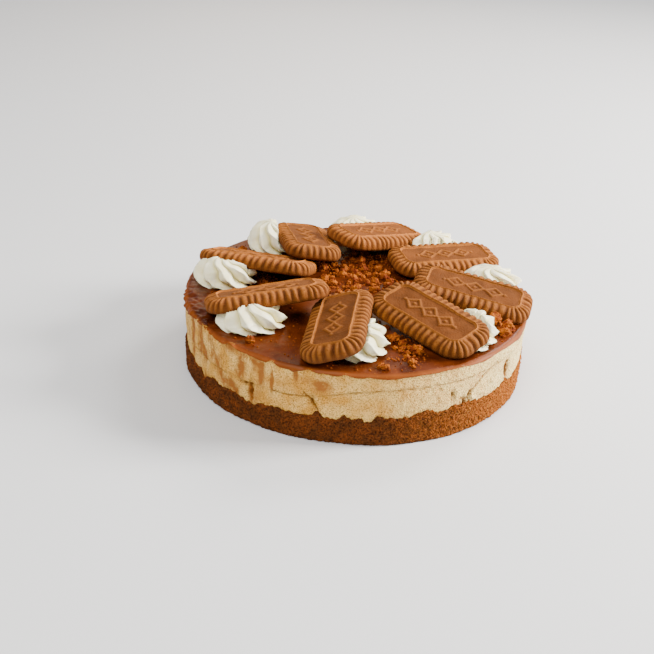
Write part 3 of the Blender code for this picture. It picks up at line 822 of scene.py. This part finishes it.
# Blender places this noise by the clock at each start, unless it is seeded.
noise.seed_set(WARP_SEED)
laid = {}
for number, (node, (heading, lean, dip, painted_light_level)) in enumerate(BISCUITS.items(), start=1):
    biscuit = moulded.copy()
    biscuit.data = moulded.data.copy()
    biscuit.name = f"spiced_biscuit_{number}"
    bpy.context.scene.collection.objects.link(biscuit)
    turned = Euler([math.radians(a) for a in (lean, dip, heading)]).to_matrix().to_4x4()
    corners = [turned @ vertex.co for vertex in biscuit.data.vertices]
    low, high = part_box(node)
    middle = [0.5 * (min(c[i] for c in corners) + max(c[i] for c in corners)) for i in (0, 1)]
    seat = Vector((0.5 * (low.x + high.x), 0.5 * (low.y + high.y), low.z))
    moved = seat - Vector((*middle, min(c.z for c in corners)))
    laid[node] = Matrix.Translation(moved) @ turned
    biscuit.data.transform(laid[node])
    for vertex in biscuit.data.vertices:
        vertex.co += BISCUIT_WARP * noise.noise_vector(vertex.co / WARP_SIZE)
    keep_values(biscuit, "painted_light_level", [painted_light_level] * len(biscuit.data.vertices))
    finish_piece(biscuit, baked_biscuit, "spiced_biscuit", node)
bpy.data.objects.remove(moulded)


# The cream. Whipped cream piped through a star nozzle, turned as it was lifted, so that
# eight round folds sweep round each swirl. The biscuits were pressed into it afterwards.
# Each swirl: its place, radius, height, heading in degrees, and its length to its width
SWIRLS = {
    "cream_1": (0.0035, -0.0635, 0.0138, 0.0135, 85.6, 1.25),
    "cream_2": (0.0578, -0.0452, 0.0126, 0.0128, 76.0, 1.38),
    "cream_3": (0.0715, 0.0148, 0.0134, 0.0125, -12.0, 1.25),
    "cream_4": (0.0410, 0.0605, 0.0132, 0.0120, 21.0, 1.25),
    "cream_5": (-0.0040, 0.0760, 0.0125, 0.0122, 42.0, 1.25),
    "cream_6": (-0.0500, 0.0525, 0.0135, 0.0155, 104.0, 1.20),
    "cream_7": (-0.0695, 0.0015, 0.0138, 0.0140, 168.0, 1.25),
    "cream_8": (-0.0500, -0.0475, 0.0138, 0.0130, 194.0, 1.25),
}
SWIRL_RIDGES = 8
RIDGE_STEPS = 20
SWIRL_ROWS = 40
RIDGE_DEPTH = 0.34
SWIRL_TWIST = math.radians(110)
SWIRL_START = 0.21
BELLY = 0.2
FOOT_WIDTH = 0.88
TOOTH_DEPTH = 0.04
TEETH_PER_RIDGE = 5
TEETH_UP_TO = 0.25
CREAM_FOOT = 0.003
CREAM_WARP = 0.0009
CREAM_WARP_SIZE = 0.0055
CREAM_RAGS = 0.0008
CREAM_RAG_SIZE = 0.0016
CREAM_RAGS_UP_TO = 0.008
CREAM_CLEARANCE = 0.0003
CREAM_IVORY = "fcf1c4"
CREAM_WHITE = "fff8d8"
# Painted shade in the valleys of the folds.
CREAM_VALLEY_SHADE = "cfc67e"


def swirl_width(rise):
    """The swirl's width at this share of its height, as a share of its full width."""
    if rise < BELLY:
        return FOOT_WIDTH + (1.0 - FOOT_WIDTH) * math.sin(0.5 * math.pi * rise / BELLY)
    return math.sqrt(max(0.0, 1.0 - ((rise - BELLY) / (1.0 - BELLY)) ** 2.2)) + 0.02


def swirl_point(step, row):
    """A point of a swirl one unit wide and high, before it is drawn out. Its folds bend over as
    they climb, full between a sharp crest and a sharp valley, with small teeth at the foot."""
    rise = row / SWIRL_ROWS
    turn = 2.0 * math.pi * step / (SWIRL_RIDGES * RIDGE_STEPS)
    crest = abs(2.0 * (SWIRL_RIDGES * turn / (2.0 * math.pi) % 1.0) - 1.0) ** 0.8
    teeth = TOOTH_DEPTH * math.cos(TEETH_PER_RIDGE * SWIRL_RIDGES * turn)
    teeth *= max(0.0, 1.0 - rise / TEETH_UP_TO)
    reach = swirl_width(rise) * (1.0 - RIDGE_DEPTH * (1.0 - crest) + teeth)
    angle = turn - SWIRL_TWIST * (rise + 0.12 * math.sin(2.0 * math.pi * rise))
    return reach * math.cos(angle), reach * math.sin(angle), rise, crest


def off_outline(x, y):
    """Distance from the biscuit's outline, below zero inside it."""
    over = Vector((
        max(0.0, abs(x) - 0.5 * BISCUIT_LENGTH + BISCUIT_CORNER),
        max(0.0, abs(y) - 0.5 * BISCUIT_WIDTH + BISCUIT_CORNER),
    ))
    return over.length - BISCUIT_CORNER


piped = wrapped("piped_swirl", SWIRL_RIDGES * RIDGE_STEPS, SWIRL_ROWS, swirl_point)

# Whipped cream: smooth, soft and a little see-through, off-white, with painted shade that makes it greener
# in its valleys.
whipped, tree, shader, place = new_finish("whipped_cream")
soft = add_node(tree, "ShaderNodeTexNoise", {"Vector": place, "Scale": 1.0 / 0.0050, "Detail": 2.0})
soft_share = add_node(tree, "ShaderNodeMapRange", {0: soft.outputs[0], 1: 0.35, 2: 0.65})
ivory = add_node(
    tree, "ShaderNodeMix", {0: soft_share.outputs[0], 6: linear(CREAM_IVORY), 7: linear(CREAM_WHITE)},
    data_type="RGBA",
)
painted_shading_kept = add_node(tree, "ShaderNodeAttribute", attribute_name="painted_shading")
# Painted shade: greener and darker in the valleys of the folds.
valley_shade_share = add_node(tree, "ShaderNodeMapRange", {0: painted_shading_kept.outputs["Fac"], 1: 0.5, 2: 0.0, 4: 0.9})
valley_shaded = layered(tree, ivory, ((valley_shade_share, CREAM_VALLEY_SHADE),))
tree.links.new(valley_shaded.outputs[2], shader.inputs["Base Color"])
shader.inputs["Roughness"].default_value = 0.45
shader.inputs["Subsurface Weight"].default_value = 0.3
shader.inputs["Subsurface Radius"].default_value = (0.0030, 0.0026, 0.0018)
airy = add_node(tree, "ShaderNodeTexNoise", {"Vector": place, "Scale": 1.0 / 0.0012, "Detail": 2.0})
airy_bump = add_node(
    tree, "ShaderNodeBump", {"Strength": 0.2, "Distance": 0.0003, "Height": airy.outputs[0]}
)
tree.links.new(airy_bump.outputs[0], shader.inputs["Normal"])

for number, (node, (x, y, radius, height, heading, stretch)) in enumerate(SWIRLS.items()):
    swirl = piped.copy()
    swirl.data = piped.data.copy()
    swirl.name = f"piped_cream_{number + 1}"
    bpy.context.scene.collection.objects.link(swirl)
    started = Matrix.Rotation(SWIRL_START * number, 4, "Z")
    sized = Matrix.Diagonal((stretch * radius, radius, height, 1.0))
    turned = Matrix.Rotation(math.radians(heading), 4, "Z")
    swirl.data.transform(Matrix.Translation((x, y, GLAZE_TOP)) @ turned @ sized @ started)
    for vertex in swirl.data.vertices:
        above = vertex.co.z - GLAZE_TOP
        lifted = min(1.0, above / CREAM_FOOT)
        ragged = CREAM_RAGS * max(0.0, 1.0 - above / CREAM_RAGS_UP_TO)
        vertex.co += lifted * CREAM_WARP * noise.noise_vector(vertex.co / CREAM_WARP_SIZE)
        vertex.co += lifted * ragged * noise.noise_vector(vertex.co / CREAM_RAG_SIZE)
        for under in laid.values():
            local = under.inverted() @ vertex.co
            if local.z > -CREAM_CLEARANCE and off_outline(local.x, local.y) < CREAM_CLEARANCE:
                local.z = -CREAM_CLEARANCE
                vertex.co = under @ local
        vertex.co.z = max(vertex.co.z, GLAZE_TOP)
    finish_piece(swirl, whipped, "whipped_cream", node)
bpy.data.objects.remove(piped)


# The crumbs. The same biscuits broken by hand into clumps like popcorn and fine grains,
# strewn over the middle and between the biscuits, where they stick to the glaze.
# The largest: place and size
LARGE_CRUMBS = (
    (0.0140, 0.0195, 0.0034),
    (-0.0200, 0.0250, 0.0034),
    (0.0010, 0.0380, 0.0030),
    (-0.0080, 0.0180, 0.0026),
    (-0.0025, 0.0130, 0.0028),
    (-0.0010, 0.0005, 0.0027),
    (0.0085, 0.0015, 0.0025),
    (0.0095, 0.0120, 0.0022),
    (-0.0175, 0.0115, 0.0025),
    (0.0105, 0.0465, 0.0020),
    (0.0200, -0.0535, 0.0028),
    (0.0240, -0.0575, 0.0024),
    (0.0305, -0.0645, 0.0034),
    (0.0160, -0.0410, 0.0018),
    (0.0280, -0.0755, 0.0020),
    (0.0160, -0.0830, 0.0021),
    (0.0710, -0.0312, 0.0031),
    (0.0745, -0.0382, 0.0035),
    (0.0778, -0.0350, 0.0022),
    (0.0708, -0.0368, 0.0019),
    (-0.0490, -0.0650, 0.0026),
    (-0.0655, 0.0425, 0.0028),
)
# Clumps that lean on others or on the cream, beside the right-hand swirl: their height too
LEANING_CRUMBS = (
    (0.0688, -0.0330, 0.0034, 0.0040),
    (0.0703, -0.0305, 0.0028, 0.0044),
    (0.0758, -0.0355, 0.0030, 0.0028),
)
# The smaller ones: centre of each patch, its reach, how many, and the smallest and largest
CRUMB_PATCHES = (
    (-0.001, 0.021, 0.028, 42, 0.0012, 0.0028),
    (0.024, -0.057, 0.011, 6, 0.0012, 0.0020),
    (0.074, -0.036, 0.010, 6, 0.0011, 0.0018),
    (-0.057, -0.005, 0.012, 9, 0.0011, 0.0020),
    (0.020, -0.079, 0.012, 4, 0.0010, 0.0016),
)
CRUMB_SPACING = 0.80
CRUMB_SINK = 0.35
CRUMB_TRIES = 60
GRAIN_SPACING = 0.30
GRAIN_PATCHES = (
    (-0.001, 0.021, 0.032, 700, 0.00030, 0.0010),
    (0.024, -0.060, 0.016, 70, 0.00025, 0.0009),
    (0.074, -0.036, 0.012, 60, 0.00025, 0.0009),
    (-0.057, -0.004, 0.020, 320, 0.00030, 0.0011),
    (0.012, -0.080, 0.024, 60, 0.00025, 0.0008),
    (-0.030, -0.052, 0.030, 60, 0.00025, 0.0007),
    (-0.062, 0.040, 0.012, 40, 0.00025, 0.0009),
    (0.009, -0.024, 0.018, 110, 0.00030, 0.0011),
)
CLUMP_KINDS = 6
GRAIN_KINDS = 5
FINER_LUMP = 0.45
FINER_DEPTH = 0.3
CREASED_MEAN = 0.6
CRUMB_DARK = "6c2c0e"
CRUMB_GOLDEN = "a25612"


def crumb_is_clear(x, y, size):
    """True where a crumb of this size lies on the glaze clear of cream and biscuits."""
    room = 1.2 * size + 0.0005
    if math.hypot(x, y) > CAKE_RADIUS - 0.0020 - room:
        return False
    for cream_x, cream_y, radius, _, heading, stretch in SWIRLS.values():
        away = Vector((x - cream_x, y - cream_y))
        away.rotate(Matrix.Rotation(-math.radians(heading), 2))
        if math.hypot(away.x / stretch, away.y) < radius + room:
            return False
    top = GLAZE_TOP + 1.4 * size + 0.0006
    for under in laid.values():
        local = under.inverted() @ Vector((x, y, top))
        over_x = abs(local.x) < 0.5 * BISCUIT_LENGTH + room
        over_y = abs(local.y) < 0.5 * BISCUIT_WIDTH + room
        if over_x and over_y and local.z > -0.0008 - 0.3 * size:
            return False
    return True


def crumb_kinds(name, count, subdivisions, lump, depth):
    """Broken crumbs of a few kinds, each an icosphere made lumpy, with finer lumps on those."""
    kinds = []
    for kind in range(count):
        bpy.ops.object.select_all(action="DESELECT")
        bpy.ops.mesh.primitive_ico_sphere_add(subdivisions=subdivisions, radius=1.0)
        crumb = bpy.context.object
        crumb.name = f"{name}_{kind}"
        for vertex in crumb.data.vertices:
            spot = vertex.co + Vector((7.0 * kind, 0.0, 3.0))
            bulge = depth * (creased(spot, lump) - CREASED_MEAN) + 0.7 * depth * noise.noise(spot * 1.3)
            bulge += FINER_DEPTH * depth * (creased(spot, FINER_LUMP * lump) - CREASED_MEAN)
            vertex.co *= 1.0 + bulge
        kinds.append(crumb)
    return kinds


def strew(name, kinds, places, chance):
    """Sets a copy of one of the kinds at each place, joins the copies and drops the kinds."""
    bpy.ops.object.select_all(action="DESELECT")
    for x, y, size, *raised_by in places:
        kind = kinds[chance.randrange(len(kinds))]
        crumb = kind.copy()
        crumb.data = kind.data.copy()
        bpy.context.scene.collection.objects.link(crumb)
        spin = Euler([chance.uniform(0.0, 2.0 * math.pi) for _ in range(3)]).to_matrix().to_4x4()
        squash = Matrix.Diagonal((1.0, chance.uniform(0.8, 1.0), 0.9, 1.0))
        lift = Matrix.Translation((x, y, GLAZE_TOP + CRUMB_SINK * size + sum(raised_by)))
        crumb.data.transform(lift @ squash @ spin @ Matrix.Scale(size, 4))
        crumb.select_set(True)
        bpy.context.view_layer.objects.active = crumb
    bpy.ops.object.join()
    joined = bpy.context.object
    joined.name = name
    for kind in kinds:
        bpy.data.objects.remove(kind)
    return joined


def scatter(patches, chance, placed, spacing):
    """Crumb places in each patch, the large ones first, none on another crumb's spot."""
    for centre_x, centre_y, reach, count, smallest, largest in patches:
        for i in range(count):
            size = largest + (smallest - largest) * (i / count) ** 0.6
            for _ in range(CRUMB_TRIES):
                angle = chance.uniform(0.0, 2.0 * math.pi)
                away = reach * math.sqrt(chance.random())
                x = centre_x + away * math.cos(angle)
                y = centre_y + away * math.sin(angle)
                spaced = all(math.hypot(x - a, y - b) > spacing * (size + s) for a, b, s in placed)
                if spaced and crumb_is_clear(x, y, size):
                    placed.append((x, y, size))
                    break
    return placed


chance = random.Random(8)
clump_places = scatter(CRUMB_PATCHES, chance, list(LARGE_CRUMBS), CRUMB_SPACING)
grain_places = scatter(GRAIN_PATCHES, chance, [], GRAIN_SPACING)
clump_places += LEANING_CRUMBS
clumps = strew("biscuit_clumps", crumb_kinds("clump", CLUMP_KINDS, 4, 0.66, 0.32), clump_places, chance)
grains = strew("biscuit_grains", crumb_kinds("grain", GRAIN_KINDS, 2, 0.9, 0.3), grain_places, chance)

# Broken biscuit: rough and dull, golden orange-brown where its crumb is open.
broken_biscuit, tree, shader, place = new_finish("broken_biscuit_crumb")
toast = add_node(tree, "ShaderNodeTexNoise", {"Vector": place, "Scale": 1.0 / 0.0026, "Detail": 6.0})
toast_share = add_node(tree, "ShaderNodeMapRange", {0: toast.outputs[0], 1: 0.40, 2: 0.60})
toasted = add_node(
    tree, "ShaderNodeMix", {0: toast_share.outputs[0], 6: linear(CRUMB_DARK), 7: linear(CRUMB_GOLDEN)},
    data_type="RGBA",
)
tree.links.new(toasted.outputs[2], shader.inputs["Base Color"])
shader.inputs["Roughness"].default_value = 0.85
shader.inputs["Specular IOR Level"].default_value = 0.1
crumbly = add_node(tree, "ShaderNodeTexNoise", {"Vector": place, "Scale": 1.0 / 0.0006, "Detail": 3.0})
crumbly_bump = add_node(
    tree, "ShaderNodeBump", {"Strength": 1.0, "Distance": 0.0007, "Height": crumbly.outputs[0]}
)
tree.links.new(crumbly_bump.outputs[0], shader.inputs["Normal"])
finish_piece(clumps, broken_biscuit, "biscuit_crumb", "glaze")
finish_piece(grains, broken_biscuit, "biscuit_crumb", "glaze")


# The table top that the cake stands on: plain, pale and wide enough to fill the view.
FLOOR_SIZE = 6.0
bpy.ops.object.select_all(action="DESELECT")
bpy.ops.mesh.primitive_plane_add(size=FLOOR_SIZE, location=(0.0, 0.0, 0.0))
floor = bpy.context.object
floor.name = "pale_floor"
# Matt white paint, a little grey.
floor_paint, tree, shader, place = new_finish("pale_floor_paint")
shader.inputs["Base Color"].default_value = linear("d9dbde")
shader.inputs["Roughness"].default_value = 0.6
floor.data.materials.append(floor_paint)
floor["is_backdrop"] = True

# Studio light: a strong soft light low at the right, weaker ones at the back right, behind the
# cake for the sheen on its glaze, and overhead, and an even pale surround.
# Each light: its name, place, width, watts and colour
LAMPS = (
    ("key", (1.00, 0.12, 0.52), 0.35, 41.0, "fffaf3"),
    ("back", (0.60, 0.75, 0.80), 0.40, 13.0, "fffaf3"),
    ("sheen", (-0.12, 1.05, 0.47), 0.40, 1.6, "ffdcb4"),
    ("overhead", (-0.30, -0.50, 1.10), 0.80, 16.0, "fffaf3"),
)
SURROUND_COLOUR = "f4f6fa"
SURROUND_STRENGTH = 0.48
for name, spot, size, power, colour in LAMPS:
    light = bpy.data.lights.new(name, "AREA")
    light.size = size
    light.energy = power
    light.color = linear(colour)[:3]
    lamp = bpy.data.objects.new(name, light)
    lamp.location = spot
    lamp.rotation_euler = (-Vector(spot)).to_track_quat("-Z", "Y").to_euler()
    bpy.context.scene.collection.objects.link(lamp)
world = bpy.data.worlds.new("surround")
world.use_nodes = True
surround = world.node_tree.nodes["Background"]
surround.inputs["Color"].default_value = linear(SURROUND_COLOUR)
surround.inputs["Strength"].default_value = SURROUND_STRENGTH
bpy.context.scene.world = world

# The camera stands 60 cm from the cake and looks down on it by 28 degrees, as in the photo.
CAMERA_SPOT = (0.0, -0.5265, 0.2828)
CAMERA_TURN = (63.122, -2.848, 3.021)
FOCAL_PIXELS = 1100.0
IMAGE_PIXELS = 654.0
SENSOR_WIDTH = 36.0
camera = bpy.data.cameras.new("camera")
camera.sensor_width = SENSOR_WIDTH
camera.lens = camera.sensor_width * FOCAL_PIXELS / IMAGE_PIXELS
camera_stand = bpy.data.objects.new("camera", camera)
camera_stand.location = CAMERA_SPOT
camera_stand.rotation_euler = [math.radians(a) for a in CAMERA_TURN]
bpy.context.scene.collection.objects.link(camera_stand)
bpy.context.scene.camera = camera_stand

low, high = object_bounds()
